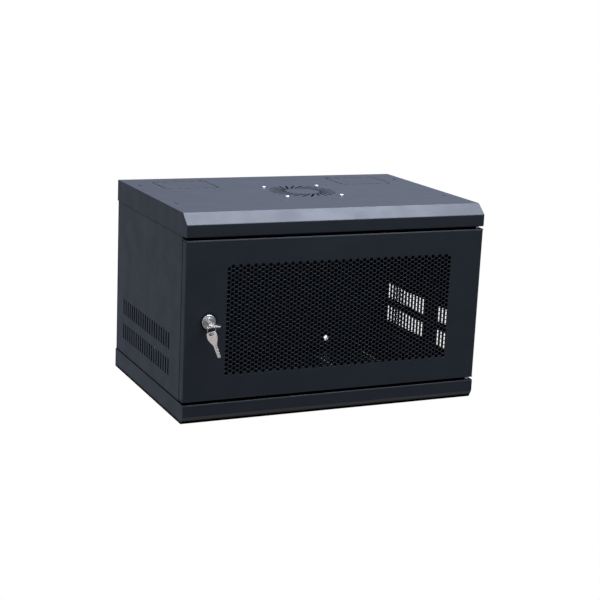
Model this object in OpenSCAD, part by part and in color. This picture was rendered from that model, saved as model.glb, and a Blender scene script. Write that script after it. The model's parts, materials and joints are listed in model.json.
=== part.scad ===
// 6U wall-mount network cabinet for 19 inch equipment.
// Frame: origin at the centre of the underside, +X right, +Y back, +Z up, millimetres.
// The door faces -Y. It hangs on the right and locks on the left.

/* [Cabinet] */
// Overall width across the top and bottom covers
cabinet_w = 550; // [544:1:600]
// Overall depth from the door's front to the back
cabinet_d = 366; // [350:2:600]
// Overall height
cabinet_h = 350; // [346:1:360]
// Thickness of the covers, the panels and the door sheet
sheet = 1.2; // [1:0.1:1.5]
// Inside radius of the folds that face the user
bend_r = 1.2; // [0.8:0.2:2]

/* [Covers] */
// Height of the top cover's side skirt
top_skirt = 38; // [34:1:40]
// Height of the bottom cover's side skirt
bottom_skirt = 34; // [32:1:38]
// Depth of the slope along the top cover's front edge
top_slope_d = 21; // [14:1:24]
// Height of the slope along the top cover's front edge
top_slope_h = 17; // [12:1:20]
// Depth of the slope under the bottom cover's front edge
bottom_slope_d = 7; // [4:1:10]
// Height of the slope under the bottom cover's front edge
bottom_slope_h = 13; // [6:0.5:14]
// Depth of the lips above and below the door
lip_d = 21; // [20:0.5:24]

/* [Door] */
// Depth of the door tray
door_d = 17; // [16:0.5:18]
// Gap above and below the door
door_gap = 4; // [2:0.25:5]
// Radius of one vent hole in the door
vent_r = 3; // [2.4:0.1:3.2]
// Distance between neighbouring vent holes
vent_pitch = 7.65; // [7.4:0.05:8]
// Columns of vent holes
vent_columns = 63; // [40:1:63]
// Rows of vent holes
vent_rows = 24; // [12:1:24]

/* [Side vents] */
// Slots in each row
slot_count = 21; // [10:1:21]
// Width of one slot
slot_w = 5.5; // [4:0.5:7]
// Height of one slot
slot_h = 28.5; // [20:0.5:32]
// Distance between neighbouring slots
slot_pitch = 12.2; // [10:0.1:12.4]

/* [Fan] */
// Outside size of the square fan housing
fan_size = 120; // [119:1:121]
// Distance between the fan's screws
fan_pitch = 105; // [104:0.5:106]
// How far the fan sits to the right of the middle
fan_offset = 12; // [0:1:20]
// Slots in the swirl grille above the fan
grille_slots = 24; // [12:1:24]

/* [Rails] */
// Distance from the door's front to the face of the 19 inch rails
rail_setback = 88; // [60:1:140]
// Free width between the two rails
rail_gap = 450; // [449:0.5:451]
// Rack units between the covers
rack_units = 6; // [6:1:6]

/* [Hidden] */
$fn = 48;
eps = 0.1;

// Outer faces and the planes that the pieces share
half_w = cabinet_w / 2;
half_d = cabinet_d / 2;
front_y = -half_d;
top_z = cabinet_h;
lid_z = top_z - top_skirt;
wall_x = half_w - sheet;
back_y = half_d - sheet;
flat_front_y = front_y + top_slope_d;
lip_gap = 1;
side_front_y = front_y + lip_d + lip_gap;
side_back_y = back_y - sheet;

// Side panels
side_lip = 22;
side_back_lip = 15;
side_shelf = 28;
slot_last_y = half_d - 43.75;
slot_rows_z = [123.5, 78.5];

// Cable knockouts in the top and bottom covers, held by short bridges
knockout_x = 173;
knockout_y = half_d - 75.5;
knockout_size = [100, 75];
knockout_cut = 2.6;
knockout_bridge = 5;
knockout_dashes = [6, 5];

// Rivets through the covers into the side panels' shelves and the back panel
rivet_r = 1.6;
rivet_hole_r = rivet_r + 0.1;
rivet_head_r = 3.2;
rivet_head_h = 0.9;
rivet_rim_h = 0.3;
rivet_crown_r = 1.9;
rivet_clinch_r = 2.5;
rivet_clinch_h = 1;
rivet_x = half_w - 20;
rivet_ys = [front_y + 108, half_d - 70];
rivet_back_x = 127;
rivet_back_y = half_d - 33;

// Door tray and its vent field
door_w = cabinet_w;
door_bottom = bottom_skirt + door_gap;
door_top = lid_z - door_gap;
door_h = door_top - door_bottom;
door_mid_z = (door_bottom + door_top) / 2;
vent_column_pitch = vent_pitch * cos(30);
vent_mid_x = 5;
corner_gap = 0.3;

// Hinge axis and its pins
hinge_x = half_w - 8;
hinge_y = front_y + 8;
pin_r = 3;
pin_bore_r = pin_r + 0.05;
pin_hole_r = pin_r + 1;
ear_t = 2;
ear_reach = 14;
ear_low_z = door_top - 34;
ear_high_z = door_top - 9;
ear_back_gap = 1;
ear_plate_t = 1.5;
lower_plate_h = 16;
collar_r = 5;
collar_t = 2.5;
foot_collar_t = 1.6;
foot_play = 0.5;
pin_reach = 8;
upper_pin_drop = 14;
upper_pin_rise = 3;
pin_point = 1;
collar_play = 0.5;
spring_r = 4.3;
spring_wire_r = 0.45;
spring_turns = 6;
spring_gap = 0.3;
tab_size = [18, 5, 2];

// Cam lock
lock_x = -half_w + 41;
lock_z = door_mid_z;
bezel_r = 12;
bezel_t = 2.6;
bezel_rim_t = 1.2;
bezel_slope = 1.6;
barrel_r = 9.5;
barrel_flats = 16.4;
barrel_back_y = front_y + 20;
lock_fit = 0.15;
plug_r = 6.5;
plug_bore_r = plug_r + 0.05;
plug_front_y = front_y - bezel_t - 0.6;
plug_back_y = front_y + 22.8;
cam_y = front_y + 23.3;
cam_t = 2;
cam_reach = 30;
cam_w = 16;
cam_square = 7;
cam_shoulder = [3, 4];
cam_screw_r = 2;
cam_screw_l = 4.1;
cam_screw_head = [5, 2.4];
cam_screw_chamfer = 1;
cam_screw_bore_l = 6;
lock_nut = [25, 3.5];
keyway_spare = 3;

// Keys: both are cut from the same blank. The bow has a slot near its end for the flat ring
key_t = 2;
key_length = 44;
key_in = 11;
bow_slot_s = 3.9;
bow_slot = [9.2, 3.6];
blade_half_w = 3.2;
keyway_w = 2 * blade_half_w + 0.4;
keyway_h = key_t + 0.3;
ring_r = [6.5, 7.7];
ring_w = 1.2;
ring_chamfer = 0.3;
ring_offset = [-6.8, -4.9];
spare_turn = 50;
spare_lean = 24;
spare_drop = 0.2;

// 19 inch rails and the brackets that carry them
rail_t = 1.5;
rail_face_w = 25;
rail_depth = 40;
rail_bottom = 16;
rail_top = cabinet_h - 16;
rail_face_y = front_y + rail_setback;
rack_unit = 44.45;
rack_base_z = (bottom_skirt + lid_z - rack_units * rack_unit) / 2;
rack_hole_x = 465.1 / 2;
rack_hole = 9.5;
rack_hole_steps = [6.35, 22.225, 38.1];
bracket_t = 1.5;
bracket_h = 30;
bracket_slot_h = 6.8;
bracket_front_y = front_y + 30;
bracket_back_y = half_d - 14;
bracket_zs = [22, cabinet_h - 22 - bracket_h];
rail_slot_from = rail_face_y + rail_depth / 2 - 58;
rail_slot_to = rail_face_y + rail_depth / 2 + 158;
rail_bolt_r = 3;
rail_bolt_play = 0.3;
rail_bolt_l = 12;
rail_bolt_head = [6, 3];
rail_bolt_dome = [4.5, 1.2];
rail_fold = 10;
m6_nut = [11.5, 5];
m6_washer_r = 6;
m6_washer_t = 1.2;
nut_play = 0.05;
rail_bolt_y = rail_face_y + rail_depth / 2;

// Fan under the top cover
fan_mid_y = (flat_front_y + half_d) / 2 - 2;
fan_top = top_z - sheet;
fan_h = 25;
fan_bore_r = 57.5;
fan_corner_r = 6;
fan_hub_r = 20;
fan_blades = 7;
fan_arm_w = 5;
fan_arm_t = 3;
fan_shaft_r = 1.5;
fan_tube_r = 5;
fan_tube_h = 19;
stator_gap = 1.5;
stator_h = 9;
stator_core_r = 9;
stator_arm = [15.5, 6];
stator_shoe = [2.5, 14];
rotor_gap = 0.8;
rotor_h = 19.5;
rotor_wall = 1.2;
rotor_lid = 1.4;
blade_chord = 26;
blade_t = 1.6;
blade_pitch = 38;
blade_gap = 1.2;
magnet_t = 1.6;
magnet_h = 12;
grille_r = 44;
grille_slot = [36, 4];
grille_tilt = 58;
screw_r = 2;
screw_hole_r = 2.25;
screw_head_r = 4;
screw_head_h = 2.2;
screw_crown_r = 2.2;
screw_shoulder = [3.6, 1.3];
screw_end = 4.5;
fan_nut = [8, 3.2];

// Back panel
back_shelf = 45;
back_shelf_w = 2 * (rivet_back_x + 20);
wall_hole_r = 5.5;
wall_pitch = [318, 302];
wall_mid_z = cabinet_h / 2;
earth_x = -200;
earth_z = 26;
earth_r = 3;
earth_l = 16;

black_paint = [0.13, 0.14, 0.16];
zinc = [0.75, 0.76, 0.78];
nickel = [0.78, 0.76, 0.72];
plastic = [0.07, 0.07, 0.08];

// ---- Folded sheet: an outline of constant thickness along a path, with rounded folds ----

function left_normal(a, b) = [a[1] - b[1], b[0] - a[0]] / norm(b - a);

function unit(v) = v / norm(v);

function miter(a, b, c, t) =
    let (m = left_normal(a, b) + left_normal(b, c))
    b + m * 2 * t / (m * m);

function offset_path(p, t) = [
    for (i = [0:len(p) - 1])
        i == 0 ? p[0] + t * left_normal(p[0], p[1])
        : i == len(p) - 1 ? p[i] + t * left_normal(p[i - 1], p[i])
        : miter(p[i - 1], p[i], p[i + 1], t)
];

function turns_left(a, b, c) =
    (b[0] - a[0]) * (c[1] - b[1]) - (b[1] - a[1]) * (c[0] - b[0]) > 0;

// Points of the arc of radius r that replaces the corner b
function fold_arc(a, b, c, r) =
    let (u = unit(a - b), v = unit(c - b), half = acos(u * v) / 2, sweep = 180 - 2 * half)
    let (centre = b + unit(u + v) * r / sin(half))
    let (p = b + u * r / tan(half) - centre, q = b + v * r / tan(half) - centre)
    [for (s = [0:0.25:1]) centre + (p * sin((1 - s) * sweep) + q * sin(s * sweep)) / sin(sweep)];

// The path p with each corner rounded: r on the side that the path turns to, r + t on the other
function soften(p, t, left_side) = [
    p[0],
    for (i = [1:1:len(p) - 2])
        let (inner = turns_left(p[i - 1], p[i], p[i + 1]) == left_side)
        each fold_arc(p[i - 1], p[i], p[i + 1], inner ? bend_r : bend_r + t),
    p[len(p) - 1]
];

function reversed(p) = [for (i = [len(p) - 1:-1:0]) p[i]];

// A sheet of thickness t that lies to the left of the path p
module folded(p, t) {
    polygon(concat(soften(p, t, false), reversed(soften(offset_path(p, t), t, true))));
}

// Extrudes a drawing of (y, z) points along X, from x = 0 to w
module along_x(w) {
    rotate([90, 0, 90])
        linear_extrude(height = w)
            children();
}

// Extrudes a drawing of (x, z) points along Y, from y = 0 to d
module along_y(d) {
    translate([0, d, 0])
        rotate([90, 0, 0])
            linear_extrude(height = d)
                children();
}

module on_both_sides() {
    children();
    mirror([1, 0, 0])
        children();
}

// ---- Covers ----

top_profile = [[half_d, lid_z], [half_d, top_z], [flat_front_y, top_z],
               [front_y, top_z - top_slope_h], [front_y, lid_z], [front_y + lip_d, lid_z]];
bottom_profile = [[front_y + lip_d, bottom_skirt], [front_y, bottom_skirt], [front_y, bottom_slope_h],
                  [front_y + bottom_slope_d, 0], [half_d, 0], [half_d, bottom_skirt]];

// Dashed cut lines around a knockout: count dashes along each side
module knockout_side(length, count) {
    step = length / count;
    for (i = [0:count - 1])
        translate([(i + 0.5) * step - length / 2, 0])
            square([step - knockout_bridge, knockout_cut], center = true);
}

module knockout() {
    for (s = [-1, 1]) {
        translate([0, s * knockout_size[1] / 2])
            knockout_side(knockout_size[0], knockout_dashes[0]);
        translate([s * knockout_size[0] / 2, 0])
            rotate(90)
                knockout_side(knockout_size[1], knockout_dashes[1]);
    }
}

module rivet_places() {
    on_both_sides() {
        for (y = rivet_ys)
            translate([rivet_x, y])
                children();
        translate([rivet_back_x, rivet_back_y])
            children();
    }
}

module fan_corners() {
    for (x = [-1, 1], y = [-1, 1])
        translate([fan_offset + x * fan_pitch / 2, fan_mid_y + y * fan_pitch / 2])
            children();
}

// One slot of the swirl, with polygonal ends so that its walls stay flat
module grille_slot_outline() {
    straight = grille_slot[0] - grille_slot[1];
    square([straight, grille_slot[1]], center = true);
    for (s = [-1, 1])
        translate([s * straight / 2, 0])
            circle(d = grille_slot[1], $fn = 12);
}

module grille() {
    translate([fan_offset, fan_mid_y])
        for (i = [0:grille_slots - 1])
            rotate(i * 360 / grille_slots)
                translate([0, -grille_r])
                    rotate(grille_tilt)
                        grille_slot_outline();
}

module sheet_holes() {
    on_both_sides()
        translate([knockout_x, knockout_y])
            knockout();
    rivet_places()
        circle(r = rivet_hole_r);
}

// The holes for hanging the cabinet on a wall, through the back panel and the covers' skirts
module wall_holes() {
    for (x = [-1, 1], z = [-1, 1])
        translate([x * wall_pitch[0] / 2, side_back_y - eps, wall_mid_z + z * wall_pitch[1] / 2])
            rotate([-90, 0, 0])
                cylinder(r = wall_hole_r, h = 2 * (sheet + eps));
}

// A cover folded from one sheet, closed at both ends by its skirts
module cover(profile) {
    translate([-half_w, 0, 0])
        along_x(cabinet_w)
            folded(profile, sheet);
    on_both_sides()
        translate([wall_x, 0, 0])
            along_x(sheet)
                polygon(soften(profile, sheet, false));
}

module top_cover() {
    color(black_paint)
        difference() {
            cover(top_profile);
            translate([0, 0, top_z - 2 * sheet])
                linear_extrude(height = 3 * sheet) {
                    sheet_holes();
                    grille();
                    fan_corners()
                        circle(r = screw_hole_r);
                }
            translate([hinge_x, hinge_y, lid_z - sheet])
                cylinder(r = pin_bore_r, h = 4 * sheet);
            wall_holes();
        }
}

module bottom_cover() {
    color(black_paint)
        difference() {
            cover(bottom_profile);
            translate([0, 0, -sheet])
                linear_extrude(height = 3 * sheet)
                    sheet_holes();
            translate([hinge_x, hinge_y, bottom_skirt - 3 * sheet])
                cylinder(r = pin_bore_r, h = 4 * sheet);
            wall_holes();
        }
}

// ---- Panels ----

module side_slots() {
    for (z = slot_rows_z, i = [0:slot_count - 1])
        translate([wall_x - 2 * sheet, slot_last_y - i * slot_pitch - slot_w / 2, z - slot_h / 2])
            cube([3 * sheet, slot_w, slot_h]);
}

module side_shelf_plate() {
    difference() {
        translate([wall_x - side_shelf, side_front_y + 2])
            square([side_shelf, side_back_y - side_front_y - 4]);
        for (y = rivet_ys)
            translate([rivet_x, y])
                circle(r = rivet_hole_r);
    }
}

module side_panel() {
    difference() {
        union() {
            translate([0, 0, sheet])
                linear_extrude(height = cabinet_h - 2 * sheet)
                    folded([[wall_x - side_lip, side_front_y], [wall_x, side_front_y],
                            [wall_x, side_back_y], [wall_x - side_back_lip, side_back_y]], sheet);
            for (z = [sheet, top_z - 2 * sheet])
                translate([0, 0, z])
                    linear_extrude(height = sheet)
                        side_shelf_plate();
        }
        side_slots();
    }
}

module side_panel_right() {
    color(black_paint)
        side_panel();
}

module side_panel_left() {
    color(black_paint)
        mirror([1, 0, 0])
            side_panel();
}

// One sheet, with a shelf folded forward along the middle of its top and bottom edges
module back_panel() {
    plate_low = sheet + bend_r + eps;
    color(black_paint)
        difference() {
            union() {
                translate([-wall_x, side_back_y, plate_low])
                    cube([2 * wall_x, sheet, cabinet_h - 2 * plate_low]);
                translate([-back_shelf_w / 2, 0, 0])
                    along_x(back_shelf_w)
                        folded([[back_y - back_shelf, sheet], [back_y, sheet],
                                [back_y, top_z - sheet], [back_y - back_shelf, top_z - sheet]], sheet);
            }
            wall_holes();
            on_both_sides()
                translate([rivet_back_x, rivet_back_y, 0])
                    cylinder(r = rivet_hole_r, h = cabinet_h);
        }
}

// ---- Rivets: a low head outside, a shank through both sheets and a clinched head inside ----

module rivet() {
    rotate_extrude()
        polygon([[0, rivet_head_h], [rivet_crown_r, rivet_head_h], [rivet_head_r, rivet_rim_h],
                 [rivet_head_r, 0], [rivet_r, 0], [rivet_r, -2 * sheet], [rivet_clinch_r, -2 * sheet],
                 [rivet_clinch_r, -2 * sheet - rivet_clinch_h], [0, -2 * sheet - rivet_clinch_h]]);
}

module top_rivets() {
    color(black_paint)
        translate([0, 0, top_z])
            rivet_places()
                rivet();
}

// The lower ones are set flush from below, so that the cabinet stands flat
module bottom_rivets() {
    color(black_paint)
        rivet_places()
            rotate_extrude()
                polygon([[0, 0], [rivet_r, 0], [rivet_r, 2 * sheet], [rivet_head_r, 2 * sheet],
                         [rivet_head_r, 2 * sheet + rivet_rim_h],
                         [rivet_crown_r, 2 * sheet + rivet_head_h], [0, 2 * sheet + rivet_head_h]]);
}

// ---- Depth brackets, rails and their bolts: drawn on the right, mirrored to the left ----

rail_web_x = rail_gap / 2 + rail_face_w;
bracket_x = rail_web_x + eps;
bracket_wall_x = wall_x - sheet;

module depth_bracket(z) {
    difference() {
        translate([0, bracket_front_y, z])
            along_y(bracket_back_y - bracket_front_y)
                folded([[bracket_x, bracket_h], [bracket_x, 0], [bracket_wall_x, 0],
                        [bracket_wall_x, bracket_h]], bracket_t);
        translate([bracket_x - 1, rail_slot_from, z + (bracket_h - bracket_slot_h) / 2])
            cube([bracket_t + 2, rail_slot_to - rail_slot_from, bracket_slot_h]);
    }
}

module depth_brackets() {
    color(black_paint)
        for (z = bracket_zs)
            depth_bracket(z);
}

module depth_brackets_right() {
    depth_brackets();
}

module depth_brackets_left() {
    mirror([1, 0, 0])
        depth_brackets();
}

module rail() {
    color(black_paint)
        difference() {
            translate([0, 0, rail_bottom])
                linear_extrude(height = rail_top - rail_bottom)
                    folded([[rail_gap / 2, rail_face_y], [rail_web_x, rail_face_y],
                            [rail_web_x, rail_face_y + rail_depth],
                            [rail_web_x - rail_fold, rail_face_y + rail_depth]], rail_t);
            for (u = [0:rack_units - 1], step = rack_hole_steps)
                translate([rack_hole_x - rack_hole / 2, rail_face_y - 1,
                           rack_base_z + u * rack_unit + step - rack_hole / 2])
                    cube([rack_hole, rail_t + 2, rack_hole]);
            for (z = bracket_zs)
                translate([rail_web_x - rail_t - 1, rail_bolt_y, z + bracket_h / 2])
                    rotate([0, 90, 0])
                        cylinder(r = rail_bolt_r + rail_bolt_play, h = rail_t + 2);
        }
}

module rail_right() {
    rail();
}

module rail_left() {
    mirror([1, 0, 0])
        rail();
}

// Pan-head bolt along +X from inside the rail
module rail_bolts() {
    color(zinc)
        for (z = bracket_zs)
            translate([rail_web_x - rail_t, rail_bolt_y, z + bracket_h / 2])
                rotate([0, 90, 0])
                    rotate_extrude()
                        polygon([[0, -rail_bolt_head[1]], [rail_bolt_dome[0], -rail_bolt_head[1]],
                                 [rail_bolt_head[0], -rail_bolt_dome[1]], [rail_bolt_head[0], 0],
                                 [rail_bolt_r, 0], [rail_bolt_r, rail_bolt_l], [0, rail_bolt_l]]);
}

module rail_bolts_right() {
    rail_bolts();
}

module rail_bolts_left() {
    mirror([1, 0, 0])
        rail_bolts();
}

// Hexagon nut on its own axis, bored for a bolt of radius r
module m6_nut(r) {
    difference() {
        cylinder(d = m6_nut[0], h = m6_nut[1], $fn = 6);
        translate([0, 0, -1])
            cylinder(r = r + nut_play, h = m6_nut[1] + 2);
    }
}

module rail_nuts() {
    color(zinc)
        for (z = bracket_zs)
            translate([bracket_x + bracket_t + eps, rail_bolt_y, z + bracket_h / 2])
                rotate([0, 90, 0])
                    m6_nut(rail_bolt_r);
}

module rail_nuts_right() {
    rail_nuts();
}

module rail_nuts_left() {
    mirror([1, 0, 0])
        rail_nuts();
}

// ---- Earth connection on the back panel, pointing forward ----

module earth_place(gap) {
    translate([earth_x, side_back_y - gap, earth_z])
        rotate([90, 0, 0])
            children();
}

module earth_stud() {
    color(zinc)
        earth_place(0)
            cylinder(r = earth_r, h = earth_l);
}

module earth_washer() {
    color(zinc)
        earth_place(0)
            difference() {
                cylinder(r = m6_washer_r, h = m6_washer_t);
                translate([0, 0, -1])
                    cylinder(r = earth_r + eps, h = m6_washer_t + 2);
            }
}

module earth_nut() {
    color(zinc)
        earth_place(m6_washer_t)
            m6_nut(earth_r);
}

// ---- Door ----

// Every second column starts half a pitch higher
module vent_field() {
    first_x = vent_mid_x - (vent_columns - 1) * vent_column_pitch / 2;
    first_z = door_mid_z - (vent_rows - 0.5) * vent_pitch / 2;
    for (c = [0:vent_columns - 1], r = [0:vent_rows - 1])
        translate([first_x + c * vent_column_pitch, first_z + (r + (c % 2) / 2) * vent_pitch])
            circle(r = vent_r, $fn = 24);
}

module barrel_outline(gap) {
    intersection() {
        circle(r = barrel_r + gap);
        square([2 * barrel_r + 2 * gap, barrel_flats + 2 * gap], center = true);
    }
}

// The door's perforated front sheet
module door_panel() {
    color(black_paint)
        translate([0, front_y, 0])
            along_y(sheet)
                difference() {
                    translate([-door_w / 2, door_bottom])
                        square([door_w, door_h]);
                    vent_field();
                    translate([lock_x, lock_z])
                        barrel_outline(lock_fit);
                }
}

// The returns behind its edges. The side ones stop short of the others by the corner gap
module door_flanges() {
    flange_y = front_y + sheet;
    flange_d = door_d - sheet;
    side_low = door_bottom + sheet + corner_gap;
    color(black_paint) {
        difference() {
            for (z = [door_bottom, door_top - sheet])
                translate([-door_w / 2, flange_y, z])
                    cube([door_w, flange_d, sheet]);
            translate([hinge_x, hinge_y, door_bottom - 1])
                cylinder(r = pin_hole_r, h = door_h + 2);
        }
        for (x = [-door_w / 2, door_w / 2 - sheet])
            translate([x, flange_y, side_low])
                cube([sheet, flange_d, door_h - 2 * (side_low - door_bottom)]);
    }
}

// ---- Hinges: two ears at the top guide a sprung pin, one at the bottom turns on a fixed pin ----

hinge_wall_x = half_w - sheet;

module hinge_ear(z) {
    translate([hinge_wall_x - ear_reach, front_y + sheet, z])
        cube([ear_reach, door_d - sheet - ear_back_gap, ear_t]);
}

module hinge_back_plate(from_z, to_z) {
    translate([hinge_wall_x - ear_reach, front_y + sheet, from_z])
        cube([ear_reach, ear_plate_t, to_z - from_z]);
}

module hinge_bores(from_z, to_z) {
    translate([hinge_x, hinge_y, from_z - 1])
        cylinder(r = pin_bore_r, h = to_z - from_z + 2);
}

module hinge_bracket_upper() {
    color(zinc)
        difference() {
            union() {
                hinge_ear(ear_low_z);
                hinge_ear(ear_high_z);
                hinge_back_plate(ear_low_z, ear_high_z + ear_t);
            }
            hinge_bores(ear_low_z, ear_high_z + ear_t);
        }
}

module hinge_bracket_lower() {
    plate_z = door_bottom + sheet;
    color(zinc)
        difference() {
            union() {
                hinge_ear(plate_z);
                hinge_back_plate(plate_z, plate_z + lower_plate_h);
            }
            hinge_bores(plate_z, plate_z + ear_t);
        }
}

module hinge_pin_lower() {
    foot_top = bottom_skirt - sheet;
    collar_top = door_bottom - foot_play;
    pin_top = door_bottom + pin_reach;
    color(zinc)
        translate([hinge_x, hinge_y, 0])
            rotate_extrude()
                polygon([[0, foot_top - foot_collar_t], [collar_r, foot_top - foot_collar_t],
                         [collar_r, foot_top], [pin_r, foot_top], [pin_r, bottom_skirt],
                         [collar_r, bottom_skirt], [collar_r, collar_top], [pin_r, collar_top],
                         [pin_r, pin_top], [0, pin_top]]);
}

collar_top_z = ear_high_z - collar_play;
spring_low_z = ear_low_z + ear_t + spring_gap;
spring_high_z = collar_top_z - collar_t - spring_gap;

module hinge_pin_upper() {
    pin_low_z = ear_low_z - upper_pin_drop;
    pin_high_z = lid_z + sheet + upper_pin_rise;
    color(zinc) {
        translate([hinge_x, hinge_y, 0])
            rotate_extrude()
                polygon([[0, pin_low_z], [pin_r, pin_low_z], [pin_r, collar_top_z - collar_t],
                         [collar_r, collar_top_z - collar_t], [collar_r, collar_top_z],
                         [pin_r, collar_top_z], [pin_r, pin_high_z - pin_point],
                         [pin_r - pin_point, pin_high_z],
                         [0, pin_high_z]]);
        translate([hinge_x - tab_size[0], hinge_y - tab_size[1] / 2, pin_low_z])
            cube(tab_size);
    }
}

// Compression spring: a wire of flat sides swept along a helix
spring_sides = 8;
spring_steps = 16 * spring_turns;

function spring_point(i, j) =
    let (turn = 360 * spring_turns * i / spring_steps, side = 360 * j / spring_sides)
    let (reach = spring_r + spring_wire_r * cos(side))
    let (rise = (spring_high_z - spring_low_z - 2 * spring_wire_r) * i / spring_steps)
    [reach * cos(turn), reach * sin(turn), rise + spring_wire_r * (1 + sin(side))];

module hinge_spring() {
    points = [for (i = [0:spring_steps], j = [0:spring_sides - 1]) spring_point(i, j)];
    walls = [
        for (i = [0:spring_steps - 1], j = [0:spring_sides - 1])
            let (k = (j + 1) % spring_sides, low = i * spring_sides, high = low + spring_sides)
            [low + j, high + j, high + k, low + k]
    ];
    start_cap = [for (j = [0:spring_sides - 1]) j];
    end_cap = [for (j = [spring_sides - 1:-1:0]) spring_steps * spring_sides + j];
    color(zinc)
        translate([hinge_x, hinge_y, spring_low_z])
            polyhedron(points, concat(walls, [start_cap, end_cap]), convexity = 10);
}

// ---- Lock: local +Z points out of the door, along -Y ----

module lock_axis(y) {
    translate([lock_x, y, lock_z])
        rotate([90, 0, 0])
            children();
}

module lock_barrel() {
    color(nickel)
        difference() {
            union() {
                lock_axis(front_y)
                    rotate_extrude()
                        polygon([[0, 0], [bezel_r, 0], [bezel_r, bezel_rim_t],
                                 [bezel_r - bezel_slope, bezel_t], [0, bezel_t]]);
                lock_axis(barrel_back_y)
                    linear_extrude(height = barrel_back_y - front_y)
                        barrel_outline(0);
            }
            lock_axis(barrel_back_y + 1)
                cylinder(r = plug_bore_r, h = barrel_back_y - front_y + bezel_t + 2);
        }
}

module lock_nut() {
    color(zinc)
        lock_axis(front_y + sheet + lock_nut[1])
            difference() {
                cylinder(d = lock_nut[0], h = lock_nut[1], $fn = 6);
                translate([0, 0, -1])
                    cylinder(r = barrel_r + nut_play, h = lock_nut[1] + 2);
            }
}

module lock_plug() {
    square_y = cam_y + cam_t;
    color(nickel)
        difference() {
            union() {
                lock_axis(plug_back_y)
                    cylinder(r = plug_r, h = plug_back_y - plug_front_y);
                translate([lock_x - cam_square / 2, plug_back_y - 1, lock_z - cam_square / 2])
                    cube([cam_square, square_y - plug_back_y + 1, cam_square]);
            }
            translate([lock_x - keyway_w / 2, plug_front_y - 1, lock_z - keyway_h / 2])
                cube([keyway_w, key_in + keyway_spare + 1, keyway_h]);
            lock_axis(square_y + 1)
                cylinder(r = cam_screw_r + nut_play, h = cam_screw_bore_l);
        }
}

// The cam points up when the door is free and turns to the left to lock it
module lock_cam() {
    color(zinc)
        lock_axis(cam_y + cam_t)
            linear_extrude(height = cam_t)
                difference() {
                    union() {
                        circle(d = cam_w, $fn = 12);
                        translate([-cam_w / 2, 0])
                            square([cam_w, cam_reach - cam_shoulder[1]]);
                        translate([-cam_w / 2 + cam_shoulder[0], 0])
                            square([cam_w - 2 * cam_shoulder[0], cam_reach]);
                    }
                    square(cam_square + eps, center = true);
                }
}

module cam_screw() {
    head_h = cam_screw_head[1];
    color(zinc)
        lock_axis(cam_y + cam_t + head_h + eps)
            rotate_extrude()
                polygon([[0, 0], [cam_screw_head[0] - cam_screw_chamfer, 0],
                         [cam_screw_head[0], cam_screw_chamfer], [cam_screw_head[0], head_h],
                         [cam_screw_r, head_h], [cam_screw_r, head_h + cam_screw_l],
                         [0, head_h + cam_screw_l]]);
}

// ---- Keys ----

// Half widths of the blank along its length, from the end of the bow to the tip of the blade
key_half_widths = [[0, 6.5], [1.4, 8.3], [3.9, 9], [8, 9.6], [12, 9.1], [16, 7.2], [20, 4.9],
                   [23.5, blade_half_w], [key_length - 2.5, blade_half_w], [key_length, 1.2]];

// The blank in its own plane: the slot's centre at the origin, the blade towards +X
module key_blank() {
    outline = concat(
        [for (p = key_half_widths) [p[0] - bow_slot_s, p[1]]],
        reversed([for (p = key_half_widths) [p[0] - bow_slot_s, -p[1]]]));
    straight = bow_slot[0] - bow_slot[1];
    translate([0, 0, -key_t / 2])
        linear_extrude(height = key_t)
            difference() {
                polygon(outline);
                square([bow_slot[1], straight], center = true);
                for (s = [-1, 1])
                    translate([0, s * straight / 2])
                        circle(d = bow_slot[1]);
            }
}

bow_slot_y = plug_front_y + key_in - key_length + bow_slot_s;

module key_inserted() {
    color(nickel)
        translate([lock_x, bow_slot_y, lock_z])
            rotate(90)
                key_blank();
}

// The ring passes through the bow's slot and around its left edge
ring_centre = [lock_x + ring_offset[0], bow_slot_y, lock_z + ring_offset[1]];

module key_ring() {
    half = ring_w / 2;
    color(nickel)
        translate(ring_centre)
            rotate([90, 0, 0])
                rotate_extrude()
                    polygon([[ring_r[0], -half + ring_chamfer], [ring_r[0] + ring_chamfer, -half],
                             [ring_r[1] - ring_chamfer, -half], [ring_r[1], -half + ring_chamfer],
                             [ring_r[1], half - ring_chamfer], [ring_r[1] - ring_chamfer, half],
                             [ring_r[0] + ring_chamfer, half], [ring_r[0], half - ring_chamfer]]);
}

// The spare hangs with the top of its slot on the bottom of the ring
module key_spare() {
    color(nickel)
        translate(ring_centre - [0, 0, (ring_r[0] + ring_r[1]) / 2])
            rotate([0, 0, -spare_turn])
                rotate([90, 0, 0])
                    rotate([0, 0, -90 + spare_lean])
                        translate([spare_drop, 0, 0])
                            key_blank();
}

// ---- Fan ----

module fan_place(z) {
    translate([fan_offset, fan_mid_y, z])
        children();
}

fan_low = fan_top - fan_h;
fan_arm_top = fan_low + fan_arm_t;

module fan_housing_outline() {
    half = fan_size / 2 - fan_corner_r;
    square([fan_size, 2 * half], center = true);
    square([2 * half, fan_size], center = true);
    for (x = [-1, 1], y = [-1, 1])
        translate([x * half, y * half])
            circle(r = fan_corner_r, $fn = 12);
}

module fan_housing() {
    color(plastic)
        fan_place(fan_low)
            difference() {
                union() {
                    linear_extrude(height = fan_h)
                        difference() {
                            fan_housing_outline();
                            circle(r = fan_bore_r);
                        }
                    for (i = [0:3])
                        rotate(45 + 90 * i)
                            translate([0, -fan_arm_w / 2, 0])
                                cube([fan_bore_r + 2, fan_arm_w, fan_arm_t]);
                    cylinder(r = fan_hub_r + 2, h = fan_arm_t);
                    cylinder(r = fan_tube_r, h = fan_tube_h);
                }
                translate([0, 0, fan_arm_t])
                    cylinder(r = fan_shaft_r + 0.05, h = fan_h);
                for (x = [-1, 1], y = [-1, 1])
                    translate([x * fan_pitch / 2, y * fan_pitch / 2, -1])
                        cylinder(r = screw_hole_r, h = fan_h + 2);
            }
}

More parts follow.
